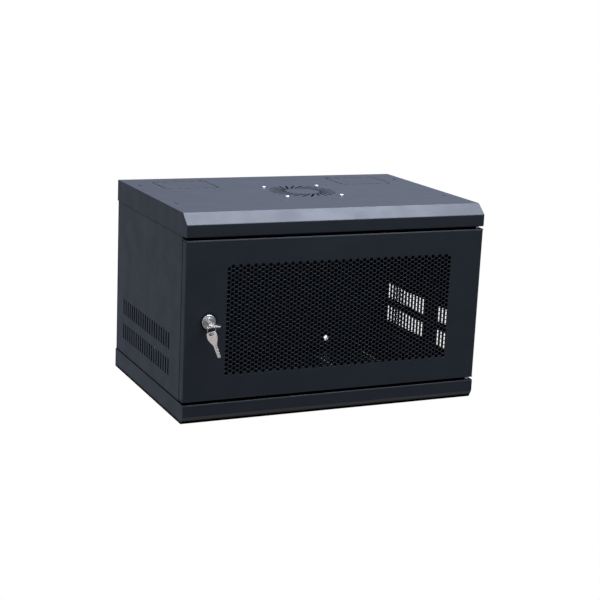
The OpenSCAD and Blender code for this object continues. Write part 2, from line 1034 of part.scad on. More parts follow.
module fan_stator() {
    color([0.72, 0.45, 0.2])
        fan_place(fan_arm_top + stator_gap)
            linear_extrude(height = stator_h)
                difference() {
                    union() {
                        circle(r = stator_core_r);
                        for (i = [0:3])
                            rotate(90 * i) {
                                translate([0, -stator_arm[1] / 2])
                                    square(stator_arm);
                                translate([stator_arm[0] - stator_shoe[0], -stator_shoe[1] / 2])
                                    square(stator_shoe);
                            }
                    }
                    circle(r = fan_tube_r + nut_play);
                }
}

rotor_low = fan_arm_top + rotor_gap;
shaft_top = rotor_h - rotor_lid / 2;

module fan_blade() {
    translate([fan_hub_r - blade_t / 2, 0, rotor_h / 2])
        rotate([blade_pitch, 0, 0])
            translate([0, -blade_chord / 2, -blade_t / 2])
                cube([fan_bore_r, blade_chord, blade_t]);
}

module fan_rotor() {
    color(plastic)
        fan_place(rotor_low)
            difference() {
                union() {
                    cylinder(r = fan_hub_r, h = rotor_h);
                    intersection() {
                        for (i = [0:fan_blades - 1])
                            rotate(360 / fan_blades * i)
                                fan_blade();
                        difference() {
                            cylinder(r = fan_bore_r - blade_gap, h = rotor_h);
                            translate([0, 0, -1])
                                cylinder(r = fan_hub_r - rotor_wall / 2, h = rotor_h + 2);
                        }
                    }
                }
                translate([0, 0, -1])
                    cylinder(r = fan_hub_r - rotor_wall, h = rotor_h - rotor_lid + 1);
                translate([0, 0, -1])
                    cylinder(r = fan_shaft_r, h = shaft_top + 1);
            }
}

module fan_magnet() {
    color([0.25, 0.25, 0.26])
        fan_place(rotor_low + 1)
            difference() {
                cylinder(r = fan_hub_r - rotor_wall, h = magnet_h);
                translate([0, 0, -1])
                    cylinder(r = fan_hub_r - rotor_wall - magnet_t, h = magnet_h + 2);
            }
}

module fan_shaft() {
    color(zinc)
        fan_place(rotor_low + 1)
            cylinder(r = fan_shaft_r, h = shaft_top - 1);
}

module fan_screws() {
    color(zinc)
        fan_corners()
            translate([0, 0, top_z])
                rotate_extrude()
                    polygon([[0, screw_head_h], [screw_crown_r, screw_head_h], screw_shoulder,
                             [screw_head_r, 0], [screw_r, 0], [screw_r, -sheet - fan_h - screw_end],
                             [0, -sheet - fan_h - screw_end]]);
}

module fan_nuts() {
    color(zinc)
        fan_corners()
            translate([0, 0, fan_low - fan_nut[1]])
                difference() {
                    cylinder(d = fan_nut[0], h = fan_nut[1], $fn = 6);
                    translate([0, 0, -1])
                        cylinder(r = screw_r + nut_play, h = fan_nut[1] + 2);
                }
}

top_cover();
bottom_cover();
side_panel_left();
side_panel_right();
back_panel();
top_rivets();
bottom_rivets();
depth_brackets_left();
depth_brackets_right();
rail_left();
rail_right();
rail_bolts_left();
rail_bolts_right();
rail_nuts_left();
rail_nuts_right();
earth_stud();
earth_nut();
earth_washer();
door_panel();
door_flanges();
hinge_bracket_upper();
hinge_bracket_lower();
hinge_pin_upper();
hinge_pin_lower();
hinge_spring();
lock_barrel();
lock_nut();
lock_plug();
lock_cam();
cam_screw();
key_inserted();
key_ring();
key_spare();
fan_housing();
fan_stator();
fan_rotor();
fan_magnet();
fan_shaft();
fan_screws();
fan_nuts();
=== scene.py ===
"""Looks of a 6U wall-mount network cabinet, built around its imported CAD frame.

Units are metres, +Z is up and the door faces -Y, as in the frame.
"""
import json
import math

import bmesh
import bpy
from mathutils import Matrix, Vector


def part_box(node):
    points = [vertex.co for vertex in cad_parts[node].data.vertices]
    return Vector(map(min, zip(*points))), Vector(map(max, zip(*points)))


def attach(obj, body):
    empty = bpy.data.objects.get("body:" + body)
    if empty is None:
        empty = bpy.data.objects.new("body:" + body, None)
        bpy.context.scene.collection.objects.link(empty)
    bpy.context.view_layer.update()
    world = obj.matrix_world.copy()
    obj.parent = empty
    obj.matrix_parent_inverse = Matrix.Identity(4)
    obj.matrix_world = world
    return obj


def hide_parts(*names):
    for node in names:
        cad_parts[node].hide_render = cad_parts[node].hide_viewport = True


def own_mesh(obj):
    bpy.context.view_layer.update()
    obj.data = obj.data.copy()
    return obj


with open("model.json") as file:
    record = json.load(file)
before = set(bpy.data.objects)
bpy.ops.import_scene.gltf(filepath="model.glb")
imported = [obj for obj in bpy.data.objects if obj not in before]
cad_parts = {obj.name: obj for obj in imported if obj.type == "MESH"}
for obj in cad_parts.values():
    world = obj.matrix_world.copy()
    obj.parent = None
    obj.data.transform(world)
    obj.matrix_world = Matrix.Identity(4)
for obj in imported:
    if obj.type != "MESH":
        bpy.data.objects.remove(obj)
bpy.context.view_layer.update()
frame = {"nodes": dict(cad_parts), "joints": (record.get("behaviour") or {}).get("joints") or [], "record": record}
NODES = frame["nodes"]
MM = 0.001

# ---------------------------------------------------------------- camera and studio

CAMERA_AZIMUTH = math.radians(25.07)
CAMERA_ELEVATION = math.radians(13.35)
CAMERA_ROLL = math.radians(2.62)
CAMERA_PLACE = Vector((-1.0371, -2.2455, 0.7404))
SENSOR_WIDTH = 36.0
LENS = 84.4
CLIP_END = 300.0


def add_camera():
    """The camera looks right and slightly down at the cabinet's front left corner."""
    level = math.cos(CAMERA_ELEVATION)
    forward = Vector((math.sin(CAMERA_AZIMUTH) * level, math.cos(CAMERA_AZIMUTH) * level,
                      -math.sin(CAMERA_ELEVATION)))
    side = forward.cross(Vector((0, 0, 1))).normalized()
    up = side.cross(forward)
    right = side * math.cos(CAMERA_ROLL) + up * math.sin(CAMERA_ROLL)
    top = right.cross(forward)
    data = bpy.data.cameras.new("camera")
    data.sensor_width = SENSOR_WIDTH
    data.lens = LENS
    data.clip_end = CLIP_END
    camera = bpy.data.objects.new("camera", data)
    bpy.context.scene.collection.objects.link(camera)
    turn = Matrix((right, top, -forward)).transposed()
    camera.matrix_world = Matrix.Translation(CAMERA_PLACE) @ turn.to_4x4()
    bpy.context.scene.camera = camera


def add_soft_box(name, place, aim, size, power, colour):
    """A rectangular area light at the place that faces the aim."""
    data = bpy.data.lights.new(name, "AREA")
    data.shape = "RECTANGLE"
    data.size, data.size_y = size
    data.energy = power
    data.color = colour
    light = bpy.data.objects.new(name, data)
    light.location = place
    light.rotation_euler = (Vector(aim) - Vector(place)).to_track_quat("-Z", "Y").to_euler()
    bpy.context.scene.collection.objects.link(light)


# Light from each side of the studio: dim in front, so that the door stays dark
WORLD_FRONT = (0.155, 0.185, 0.235)
WORLD_BACK = (0.30, 0.335, 0.41)
WORLD_BELOW = (0.60, 0.60, 0.62)
WORLD_ABOVE = (0.80, 0.90, 1.22)
PAPER_WHITE = (1.0, 1.0, 1.0)


def add_world():
    """A cool, even studio, brighter behind, above and below than in front, with white paper behind."""
    world = bpy.data.worlds.new("studio")
    world.use_nodes = True
    nodes, links = world.node_tree.nodes, world.node_tree.links
    split = nodes.new("ShaderNodeSeparateXYZ")
    links.new(nodes.new("ShaderNodeTexCoord").outputs["Generated"], split.inputs[0])

    def share(axis, start, end):
        """0 to 1 as the direction's part along the axis goes from start to end."""
        node = nodes.new("ShaderNodeMapRange")
        node.interpolation_type = "SMOOTHSTEP"
        node.inputs["From Min"].default_value = start
        node.inputs["From Max"].default_value = end
        links.new(split.outputs[axis], node.inputs["Value"])
        return node.outputs["Result"]

    def blend(factor, first, second):
        """From first, a colour or a socket, to second, a colour."""
        node = nodes.new("ShaderNodeMix")
        node.data_type = "RGBA"
        links.new(factor, node.inputs["Factor"])
        sockets = {n.name: n for n in node.inputs if n.type == "RGBA"}
        if isinstance(first, tuple):
            sockets["A"].default_value = (*first, 1)
        else:
            links.new(first, sockets["A"])
        sockets["B"].default_value = (*second, 1)
        return next(n for n in node.outputs if n.type == "RGBA")

    level = blend(share("Y", -0.8, 0.8), WORLD_FRONT, WORLD_BACK)
    lower = blend(share("Z", -0.45, -0.95), level, WORLD_BELOW)
    sky = blend(share("Z", -0.1, 0.8), lower, WORLD_ABOVE)
    seen = nodes.new("ShaderNodeLightPath").outputs["Is Camera Ray"]
    links.new(blend(seen, sky, PAPER_WHITE), nodes["Background"].inputs["Color"])
    bpy.context.scene.world = world


FLOOR_REACH = 120.0
FLOOR_DROP = 0.2 * MM


def add_floor():
    """White paper that runs to the horizon, lit so evenly that it takes no shadow."""
    mesh = bpy.data.meshes.new("floor")
    corners = [(x * FLOOR_REACH, y * FLOOR_REACH, 0) for x, y in ((-1, -1), (1, -1), (1, 1), (-1, 1))]
    mesh.from_pydata(corners, [], [(0, 1, 2, 3)])
    floor = bpy.data.objects.new("floor", mesh)
    floor.location.z = -FLOOR_DROP
    floor.visible_glossy = False
    floor.visible_diffuse = False
    bpy.context.scene.collection.objects.link(floor)
    material = bpy.data.materials.new("floor_paper")
    material.use_nodes = True
    nodes = material.node_tree.nodes
    glow = nodes.new("ShaderNodeEmission")
    glow.inputs["Color"].default_value = (*PAPER_WHITE, 1)
    material.node_tree.links.new(glow.outputs[0], nodes["Material Output"].inputs["Surface"])
    nodes.remove(nodes["Principled BSDF"])
    mesh.materials.append(material)


def add_studio():
    """The backdrop, a large light overhead, two weak ones in front and a card that lights the lock."""
    bpy.context.scene.view_settings.view_transform = "Standard"
    add_world()
    add_floor()
    add_soft_box("overhead", (0.70, -0.1, 2.6), (0, 0, 0.2), (2.4, 2.0), 180, (0.77, 0.83, 1.0))
    add_soft_box("front_top", (1.3, -2.05, 2.3), (0, 0, 0.2), (1.6, 1.0), 30, (0.85, 0.90, 1.0))
    add_soft_box("front_fill", (-2.2, -3.0, 2.2), (0, 0, 0.15), (1.6, 1.6), 10, (0.85, 0.92, 1.0))
    add_soft_box("key_card", (-1.3, -0.55, -0.02), (-0.24, -0.22, 0.15), (0.9, 0.5), 0.75, (1.0, 0.95, 0.90))


# ---------------------------------------------------------------- materials


NODE_SAMPLES = 6
# Cosines between the rounded normal and the flat one where the painted edge highlight is full and where it is gone
EDGE_FULL_HIGHLIGHT = 0.80
EDGE_FLAT = 0.995
# Shares of a point's surroundings in sight where it counts as shut in a seam, under full painted shade, and as
# open, with none
SEAM_SHUT = 0.74
SEAM_OPEN = 0.99
SEAM_REACH = 8 * MM


class Shader:
    """A new node material with its Principled shader, and short calls that add nodes to it."""

    def __init__(self, name, colour, roughness, metallic=0.0):
        self.material = bpy.data.materials.new(name)
        self.material.use_nodes = True
        self.nodes = self.material.node_tree.nodes
        self.links = self.material.node_tree.links
        self.main = self.nodes["Principled BSDF"]
        self.set("Base Color", (*colour, 1))
        self.set("Roughness", roughness)
        self.set("Metallic", metallic)
        self.place = self.nodes.new("ShaderNodeTexCoord").outputs["Object"]

    def set(self, socket, value):
        """A constant on the shader's own socket."""
        self.main.inputs[socket].default_value = value

    def noise(self, scale, detail=2.0, stretch=None):
        """Noise of about scale blotches to the metre, which stretch squeezes along an axis."""
        node = self.nodes.new("ShaderNodeTexNoise")
        node.inputs["Scale"].default_value = scale
        node.inputs["Detail"].default_value = detail
        source = self.place
        if stretch:
            mapping = self.nodes.new("ShaderNodeMapping")
            mapping.inputs["Scale"].default_value = stretch
            self.links.new(source, mapping.inputs["Vector"])
            source = mapping.outputs["Vector"]
        self.links.new(source, node.inputs["Vector"])
        return node.outputs["Fac"]

    def spread(self, value, low, high, start=0.3, end=0.7):
        """Maps value from start..end to low..high."""
        node = self.nodes.new("ShaderNodeMapRange")
        for socket, number in (("From Min", start), ("From Max", end), ("To Min", low), ("To Max", high)):
            node.inputs[socket].default_value = number
        self.links.new(value, node.inputs["Value"])
        return node.outputs["Result"]

    def mix(self, factor, first, second):
        """A colour between first and second, each a colour or a socket."""
        node = self.nodes.new("ShaderNodeMix")
        node.data_type = "RGBA"
        self.links.new(factor, node.inputs["Factor"])
        for socket, value in (("A", first), ("B", second)):
            target = next(s for s in node.inputs if s.name == socket and s.type == "RGBA")
            if isinstance(value, tuple):
                target.default_value = (*value, 1)
            else:
                self.links.new(value, target)
        return next(s for s in node.outputs if s.type == "RGBA")

    def compute(self, operation, first, second):
        """A Math node on two values, each a number or a socket."""
        node = self.nodes.new("ShaderNodeMath")
        node.operation = operation
        for socket, value in zip(node.inputs, (first, second)):
            if isinstance(value, (int, float)):
                socket.default_value = value
            else:
                self.links.new(value, socket)
        return node.outputs[0]

    def bump(self, height, strength, distance, under=None):
        """The normal of a relief of that height, laid over the normal under it."""
        node = self.nodes.new("ShaderNodeBump")
        node.inputs["Strength"].default_value = strength
        node.inputs["Distance"].default_value = distance
        self.links.new(height, node.inputs["Height"])
        if under:
            self.links.new(under, node.inputs["Normal"])
        return node.outputs["Normal"]

    def round_edges(self, radius):
        """The surface's normal with its edges rounded off."""
        node = self.nodes.new("ShaderNodeBevel")
        node.samples = NODE_SAMPLES
        node.inputs["Radius"].default_value = radius
        return node.outputs["Normal"]

    def edges(self, rounded):
        """1 along edges, 0 on flats."""
        geometry = self.nodes.new("ShaderNodeNewGeometry")
        node = self.nodes.new("ShaderNodeVectorMath")
        node.operation = "DOT_PRODUCT"
        self.links.new(rounded, node.inputs[0])
        self.links.new(geometry.outputs["Normal"], node.inputs[1])
        return self.spread(node.outputs["Value"], 1.0, 0.0, EDGE_FULL_HIGHLIGHT, EDGE_FLAT)

    def unshaded_share(self, reach):
        """1 on open surfaces, falling to 0 in seams and gaps narrower than the reach: the share that the painted
        shade leaves unshaded.
        """
        node = self.nodes.new("ShaderNodeAmbientOcclusion")
        node.samples = NODE_SAMPLES
        node.inputs["Distance"].default_value = reach
        return self.spread(node.outputs["AO"], 0.0, 1.0, SEAM_SHUT, SEAM_OPEN)

    def link(self, value, socket):
        """A value from a node into the shader's socket."""
        self.links.new(value, self.main.inputs[socket])


def powder_coat(name, colour, edge_highlight):
    """Satin powder coat: fine orange peel, faint clouding, a painted highlight that makes it paler along its
    edges, and painted shade that darkens it in seams.
    """
    s = Shader(name, colour, 0.42)
    # Painted shade: ambient occlusion takes the colour to black and dims the specular level in seams and gaps
    unshaded = s.unshaded_share(SEAM_REACH)
    s.link(s.compute("MULTIPLY", unshaded, 0.38), "Specular IOR Level")
    rounded = s.round_edges(0.9 * MM)
    # Painted highlight: the colour turns paler along rounded edges, broken up by noise
    edge = s.compute("MULTIPLY", s.edges(rounded), s.spread(s.noise(160, 3), 0.15, 0.8))
    lighter = tuple(c * 1.35 for c in colour)
    clouds = s.mix(s.noise(7, 3), colour, lighter)
    # The colour goes to black under the seams' painted shade and paler under the edges' painted highlight
    s.link(s.mix(unshaded, (0.0, 0.0, 0.0), s.mix(edge, clouds, edge_highlight)), "Base Color")
    s.link(s.spread(s.noise(22, 4), 0.37, 0.47), "Roughness")
    peel = s.bump(s.noise(750, 2), 0.22, 0.12 * MM, under=rounded)
    s.link(s.bump(s.noise(60, 2), 0.05, 0.25 * MM, under=peel), "Normal")
    return s.material


def plated(name, colour, roughness, scratch, bevel=0.3 * MM):
    """Plated steel: fine scratches along one direction, cloudy roughness, rounded edges."""
    s = Shader(name, colour, roughness, metallic=1.0)
    rounded = s.round_edges(bevel)
    dull = tuple(c * 0.72 for c in colour)
    s.link(s.mix(s.spread(s.noise(260, 4), 0.0, 0.75), colour, dull), "Base Color")
    s.link(s.spread(s.noise(420, 3), roughness * 0.75, roughness * 1.45), "Roughness")
    s.link(s.bump(s.noise(900, 3, stretch=scratch), 0.18, 0.05 * MM, under=rounded), "Normal")
    return s.material


def moulded(name, colour, roughness):
    """Moulded plastic with a fine spark-eroded grain."""
    s = Shader(name, colour, roughness)
    rounded = s.round_edges(0.4 * MM)
    s.link(s.mix(s.noise(30, 3), colour, tuple(c * 1.6 for c in colour)), "Base Color")
    s.link(s.spread(s.noise(90, 3), roughness * 0.85, roughness * 1.15), "Roughness")
    s.link(s.bump(s.noise(1400, 2), 0.25, 0.06 * MM, under=rounded), "Normal")
    return s.material


def winding():
    """Enamelled copper wire: close turns seen as fine bands."""
    s = Shader("copper_winding", (0.62, 0.25, 0.08), 0.32, metallic=0.8)
    wave = s.nodes.new("ShaderNodeTexWave")
    wave.bands_direction = "Z"
    wave.inputs["Scale"].default_value = 420
    s.links.new(s.place, wave.inputs["Vector"])
    s.link(s.mix(wave.outputs["Fac"], (0.30, 0.10, 0.03), (0.72, 0.31, 0.11)), "Base Color")
    s.link(s.bump(wave.outputs["Fac"], 0.5, 0.2 * MM), "Normal")
    return s.material


MATERIALS = {
    # The black coat's second colour is the paler colour of its painted edge highlight
    "black_paint": powder_coat("black_powder_coat", (0.0085, 0.0098, 0.0118), (0.030, 0.032, 0.036)),
    "zinc": plated("bright_zinc", (0.74, 0.75, 0.77), 0.26, (1, 1, 6)),
    "nickel": plated("worn_nickel", (0.76, 0.70, 0.63), 0.24, (1, 5, 1)),
    "fan_plastic": moulded("fan_plastic", (0.012, 0.012, 0.013), 0.5),
    "copper": winding(),
    "magnet": moulded("ferrite_magnet", (0.045, 0.045, 0.048), 0.65),
}


def finish_nodes():
    """Every carried-over CAD node takes the material of its slot in the record."""
    for row in frame["record"]["subparts"]:
        mesh = NODES[row["node"]].data
        mesh.materials.clear()
        mesh.materials.append(MATERIALS[row["material_slot"]])


# ---------------------------------------------------------------- mesh tools


def add_piece(name, mesh, body, slot, *replaced):
    """Shows a mesh as a piece that rides on a body and takes a slot's material."""
    piece = bpy.data.objects.new(name, mesh)
    bpy.context.scene.collection.objects.link(piece)
    mesh.materials.clear()
    mesh.materials.append(MATERIALS[slot])
    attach(piece, body)
    if replaced:
        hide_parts(*replaced)
    return piece


def to_mesh(name, bm, smooth_angle):
    """The bmesh as a mesh, shaded smooth where faces meet at less than the angle in degrees."""
    bmesh.ops.recalc_face_normals(bm, faces=bm.faces)
    mesh = bpy.data.meshes.new(name)
    bm.to_mesh(mesh)
    bm.free()
    mesh.shade_smooth()
    mark_sharp(mesh, math.radians(smooth_angle))
    return mesh


def mark_sharp(mesh, angle):
    """Marks the edges whose faces meet at more than the angle, in radians, as sharp."""
    bm = bmesh.new()
    bm.from_mesh(mesh)
    for edge in bm.edges:
        edge.smooth = len(edge.link_faces) == 2 and edge.calc_face_angle(0) < angle
    bm.to_mesh(mesh)
    bm.free()


def grid(bm, rows, closed=True):
    """Faces between rows of points; closed joins each row's end to its start."""
    made = [[bm.verts.new(p) for p in row] for row in rows]
    for low, high in zip(made, made[1:]):
        count = len(low)
        for i in range(count if closed else count - 1):
            k = (i + 1) % count
            bm.faces.new((low[i], low[k], high[k], high[i]))
    return made


def lathe(bm, profile, segments=48, shift=None):
    """Turns (radius, height) points about Z. shift(angle, radius, height) may move a point."""
    rows = []
    for radius, height in profile:
        row = []
        for i in range(segments):
            angle = 2 * math.pi * i / segments
            r, h = shift(angle, radius, height) if shift else (radius, height)
            row.append(Vector((r * math.cos(angle), r * math.sin(angle), h)))
        rows.append(row)
    grid(bm, rows)
    bmesh.ops.remove_doubles(bm, verts=bm.verts, dist=1e-7)


def dome(radius, height, steps, top=0.0):
    """Points of a quarter-ellipse from the rim at height 0 to the crown, stopping at radius top."""
    points = []
    for i in range(steps + 1):
        turn = math.pi / 2 * i / steps
        points.append((max(radius * math.cos(turn), top), height * math.sin(turn)))
    return points


def joined(name, parts):
    """One mesh of several, each with its own place."""
    bm = bmesh.new()
    for mesh, matrix in parts:
        copy = mesh.copy()
        copy.transform(matrix)
        bm.from_mesh(copy)
        bpy.data.meshes.remove(copy)
    mesh = bpy.data.meshes.new(name)
    bm.to_mesh(mesh)
    bm.free()
    return mesh


def box_mesh(size, matrix):
    """A box of that size, with its middle placed by the matrix."""
    bm = bmesh.new()
    bmesh.ops.create_cube(bm, size=1, matrix=matrix @ Matrix.Diagonal((*size, 1)))
    mesh = bpy.data.meshes.new("box")
    bm.to_mesh(mesh)
    bm.free()
    return mesh


def welded(mesh):
    """The mesh with its doubled points merged, so that it encloses a volume."""
    bm = bmesh.new()
    bm.from_mesh(mesh)
    bmesh.ops.remove_doubles(bm, verts=bm.verts, dist=1e-6)
    bm.to_mesh(mesh)
    bm.free()
    return mesh


def cut_out(mesh, cutters):
    """The mesh with each cutter's volume taken out of it."""
    target = bpy.data.objects.new("target", mesh)
    bpy.context.scene.collection.objects.link(target)
    tools = []
    for cutter in cutters:
        tool = bpy.data.objects.new("tool", cutter)
        bpy.context.scene.collection.objects.link(tool)
        change = target.modifiers.new("cut", "BOOLEAN")
        change.object = tool
        change.operation = "DIFFERENCE"
        change.solver = "MANIFOLD"
        tools.append(tool)
    graph = bpy.context.evaluated_depsgraph_get()
    result = bpy.data.meshes.new_from_object(target.evaluated_get(graph))
    for made in [target, *tools]:
        bpy.data.objects.remove(made)
    return result


# ---------------------------------------------------------------- fasteners


def thread_shift(pitch, depth):
    """Moves lathe points in and out along a screw thread of that pitch."""
    def shift(angle, radius, height):
        phase = (height / pitch - angle / (2 * math.pi)) % 1.0
        return radius - depth * abs(2 * phase - 1), height
    return shift


THREAD_STEPS = 4


def threaded(bm, radius, low, high, pitch, depth, segments=20):
    """A threaded rod along Z, open at both ends."""
    steps = int((high - low) / pitch * THREAD_STEPS)
    profile = [(radius, low + (high - low) * i / steps) for i in range(steps + 1)]
    lathe(bm, profile, segments, thread_shift(pitch, depth))


def cross_cutters(length, width, depth, top):
    """Two crossed bars that cut a cross recess down from the height top."""
    bars = []
    for turn in (0, math.pi / 2):
        place = Matrix.Translation((0, 0, top)) @ Matrix.Rotation(turn, 4, "Z")
        bars.append(box_mesh((length, width, 2 * depth), place))
    return bars


def pan_screw(head_r, head_h, shank_r, length, pitch):
    """A pan-head screw along -Z: its head stands on z = 0."""
    bm = bmesh.new()
    rim, flat = 0.25 * head_h, 0.25 * head_r
    crown = [(r, rim + 0.75 * h) for r, h in dome(head_r, head_h, 8, flat)]
    lathe(bm, [(0, 0), (head_r, 0), *crown, (0, head_h)], 40)
    head = to_mesh("head", bm, 35)
    cross_l, cross_w, cross_d = 1.15 * head_r, 0.26 * head_r, 0.5 * head_h
    head = cut_out(head, cross_cutters(cross_l, cross_w, cross_d, head_h))
    bm = bmesh.new()
    threaded(bm, shank_r, -length, 0, pitch, 0.14 * shank_r)
    shank = to_mesh("shank", bm, 80)
    return joined("screw", [(head, Matrix()), (shank, Matrix())])


def joint(name):
    """A joint's row in the frame."""
    return next(row for row in frame["joints"] if row["name"] == name)


def corners_of(node, inset):
    """The four (x, y) places inset from the corners of a node's box."""
    low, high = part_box(node)
    return [(x, y) for x in (low[0] + inset, high[0] - inset) for y in (low[1] + inset, high[1] - inset)]


FAN_SCREW_R = 2.0 * MM
FAN_SCREW_HEAD_R = 4.0 * MM
FAN_SCREW_PITCH = 0.7 * MM


def add_fan_screws():
    """Four screws through the top cover, each stopped at another angle."""
    low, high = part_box("fan_screws")
    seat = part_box("top_cover")[1][2]
    screw = pan_screw(FAN_SCREW_HEAD_R, high[2] - seat, FAN_SCREW_R, seat - low[2], FAN_SCREW_PITCH)
    parts = [(screw, Matrix.Translation((x, y, seat)) @ Matrix.Rotation(0.4 + 1.1 * i, 4, "Z"))
             for i, (x, y) in enumerate(corners_of("fan_screws", FAN_SCREW_HEAD_R))]
    add_piece("fan_screws_turned", joined("fan_screws_turned", parts), "cabinet", "zinc", "fan_screws")


# ---------------------------------------------------------------- lock and keys


def lock_frame():
    """The lock's axis: its place on the door's front, with +Z pointing out of the door."""
    low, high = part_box("lock_barrel")
    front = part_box("door_panel")[0][1]
    place = Matrix.Translation(((low[0] + high[0]) / 2, front, (low[2] + high[2]) / 2))
    return place @ Matrix.Rotation(math.radians(90), 4, "X")


BARREL_R = 9.5 * MM
BARREL_FLAT = 8.2 * MM
BARREL_PITCH = 1.0 * MM
BARREL_BORE_R = 6.56 * MM
BEZEL_FLANGE = 1.3 * MM
BEZEL_ROUND = 1.4 * MM


def add_lock_barrel():
    """A turned bezel with a dished face, and a threaded body with two flats behind the door."""
    low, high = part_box("lock_barrel")
    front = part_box("door_panel")[0][1]
    rim_h = front - low[1]
    back = high[1] - front
    rim_r = (high[0] - low[0]) / 2
    bm = bmesh.new()
    rounded = [(rim_r - BEZEL_ROUND + r, rim_h - BEZEL_ROUND + h)
               for r, h in dome(BEZEL_ROUND, BEZEL_ROUND, 6)]
    dish = [(9.6 * MM, rim_h), (8.9 * MM, rim_h - 0.7 * MM), (7.6 * MM, rim_h - 0.5 * MM),
            (7.1 * MM, rim_h - 0.15 * MM), (BARREL_BORE_R, rim_h - 0.3 * MM)]
    tube = [(BARREL_BORE_R, -back), (9.0 * MM, -back)]
    lathe(bm, [(9.4 * MM, 0), (rim_r, 0), *rounded, *dish, *tube], 72)
    bezel = to_mesh("bezel", bm, 40)
    bm = bmesh.new()
    threaded(bm, BARREL_R, -back, -BEZEL_FLANGE, BARREL_PITCH, 0.45 * BARREL_PITCH, 48)
    for v in bm.verts:
        v.co.y = max(-BARREL_FLAT, min(BARREL_FLAT, v.co.y))
    body = to_mesh("body", bm, 50)
    mesh = joined("lock_barrel_turned", [(bezel, lock_frame()), (body, lock_frame())])
    add_piece("lock_barrel_turned", mesh, "door", "nickel", "lock_barrel")


KEY_T = 2.0 * MM
KEY_EDGE = 0.28 * MM
KEY_SLOT = (3.6 * MM, 9.2 * MM)
KEY_GROOVE = (26 * MM, 1.2 * MM, 1.1 * MM)
# From the end of the bow to the slot's middle, and from there and the key's axis to a groove's
KEY_SLOT_S = 3.9 * MM
KEY_GROOVE_S = 31 * MM
KEY_GROOVE_W = 1.1 * MM
# (distance from the end of the bow, half width) along the blank, in millimetres
KEY_BOW = [(0.0, 5.9), (0.3, 6.9), (0.9, 7.8), (1.9, 8.5), (3.9, 9.0), (6.0, 9.4), (8.0, 9.6), (10.0, 9.5),
           (12.0, 9.0), (14.0, 8.2), (16.0, 7.1), (18.0, 6.0), (20.0, 4.9), (22.0, 3.9), (23.6, 3.2)]
# (distance, depth) of each pin cut, and its half widths at the bottom and at the blade's edge
KEY_CUTS = [(28.6, 0.8), (31.6, 1.7), (34.6, 0.6), (37.6, 1.4)]
CUT_FLOOR = 0.35
CUT_MOUTH = 1.2
KEY_TIP = [(41.6, 3.1), (43.3, 2.0), (43.9, 0.9)]


def key_outline():
    """The blank's outline, with its pin cuts along one edge; the slot's centre is the origin."""
    width = KEY_BOW[-1][1]
    upper = list(KEY_BOW)
    for middle, depth in KEY_CUTS:
        upper += [(middle - CUT_MOUTH, width), (middle - CUT_FLOOR, width - depth),
                  (middle + CUT_FLOOR, width - depth), (middle + CUT_MOUTH, width)]
    lower = [(s, -w) for s, w in reversed(KEY_BOW + KEY_TIP)]
    points = upper + KEY_TIP + lower
    return [(s * MM - KEY_SLOT_S, w * MM) for s, w in points]


def plate(outline, holes, thickness, edge):
    """A flat plate in the XY plane with its edges rounded, as a mesh."""
    curve = bpy.data.curves.new("plate", "CURVE")
    curve.dimensions = "2D"
    curve.fill_mode = "BOTH"
    curve.extrude = thickness / 2 - edge
    curve.bevel_depth = edge
    curve.bevel_resolution = 2
    curve.offset = -edge
    for points in [outline, *holes]:
        spline = curve.splines.new("POLY")
        spline.points.add(len(points) - 1)
        for point, (x, y) in zip(spline.points, points):
            point.co = (x, y, 0, 1)
        spline.use_cyclic_u = True
    holder = bpy.data.objects.new("plate", curve)
    bpy.context.scene.collection.objects.link(holder)
    graph = bpy.context.evaluated_depsgraph_get()
    mesh = bpy.data.meshes.new_from_object(holder.evaluated_get(graph))
    bpy.data.objects.remove(holder)
    return welded(mesh)


def circle_points(radius, count, centre=(0, 0)):
    turns = [2 * math.pi * i / count for i in range(count)]
    return [(centre[0] + radius * math.cos(t), centre[1] + radius * math.sin(t)) for t in turns]


def slot_points(width, length, count):
    """A slot with round ends that lies along Y."""
    reach = (length - width) / 2
    return [(x, y + math.copysign(reach, y)) for x, y in circle_points(width / 2, count)]


def key_mesh():
    """A key with a rounded bow, a milled groove on each face and pin cuts."""
    blank = plate(key_outline(), [slot_points(*KEY_SLOT, 30)], KEY_T, KEY_EDGE)
    grooves = []
    for side in (1, -1):
        place = Matrix.Translation((KEY_GROOVE_S, side * KEY_GROOVE_W, side * KEY_T / 2))
        grooves.append(box_mesh(KEY_GROOVE, place))
    mesh = cut_out(blank, grooves)
    mark_sharp(mesh, math.radians(35))
    return mesh


RING_WIRE = 1.2 * MM
SPARE_YAW = math.radians(-50)
SPARE_LEAN = math.radians(-66)
SPARE_DROP = 0.2 * MM


def add_keys():
    """The key in the lock, the spare that hangs from its ring, and the ring."""
    blank = key_mesh()
    low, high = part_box("key_inserted")
    slot = Vector(((low[0] + high[0]) / 2, low[1] + KEY_SLOT_S, (low[2] + high[2]) / 2))
    place = Matrix.Translation(slot) @ Matrix.Rotation(math.radians(90), 4, "Z")
    add_piece("key_cut", joined("key_cut", [(blank, place)]), "key", "nickel", "key_inserted")
    ring_low, ring_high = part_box("key_ring")
    ring = (Vector(ring_low) + Vector(ring_high)) / 2
    ring_r = (ring_high[0] - ring_low[0]) / 2 - RING_WIRE / 2
    place = Matrix.Translation(ring - Vector((0, 0, ring_r))) @ Matrix.Rotation(SPARE_YAW, 4, "Z")
    place = place @ Matrix.Rotation(math.radians(90), 4, "X") @ Matrix.Rotation(SPARE_LEAN, 4, "Z")
    place = place @ Matrix.Translation((SPARE_DROP, 0, 0))
    add_piece("spare_key_cut", joined("spare_key_cut", [(blank, place)]), "spare_key", "nickel", "key_spare")
    add_split_ring(ring, ring_r)


